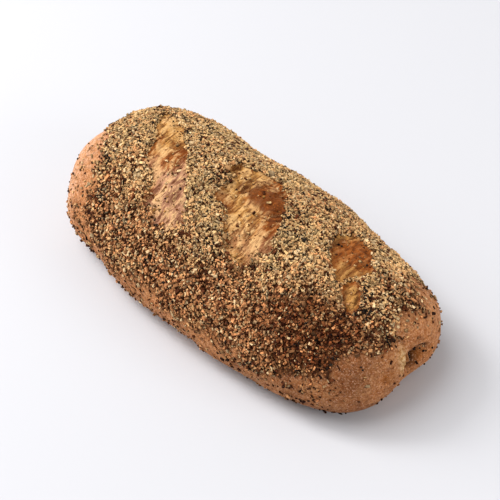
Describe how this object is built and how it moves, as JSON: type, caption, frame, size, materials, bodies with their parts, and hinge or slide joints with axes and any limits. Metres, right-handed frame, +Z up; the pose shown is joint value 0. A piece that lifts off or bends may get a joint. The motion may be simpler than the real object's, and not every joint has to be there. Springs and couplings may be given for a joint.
{
  "type": "seeded bread loaf",
  "caption": "Oval hand-shaped bread loaf with a vaulted crust under coarse grain and seeds, torn diagonal slashes, a tucked-in roll end and a flat base to rest on.",
  "frame": {"origin": "middle of the bounding box's bottom face, on the surface that the loaf rests on", "axes": "+X along the loaf towards its lower end, where the roll's end is tucked in; +Y across it; +Z up, away from the flat base"},
  "size_m": [0.25, 0.13, 0.076],
  "materials": {
    "crust": "matte baked bread crust, brown, mottled",
    "grain_topping": "matte toasted cracked grain, pale tan to gold",
    "seed_topping": "dark poppy-like seed, slightly satin"
  },
  "bodies": {
    "root": {"loaf": "crust"}
  },
  "joints": []
}
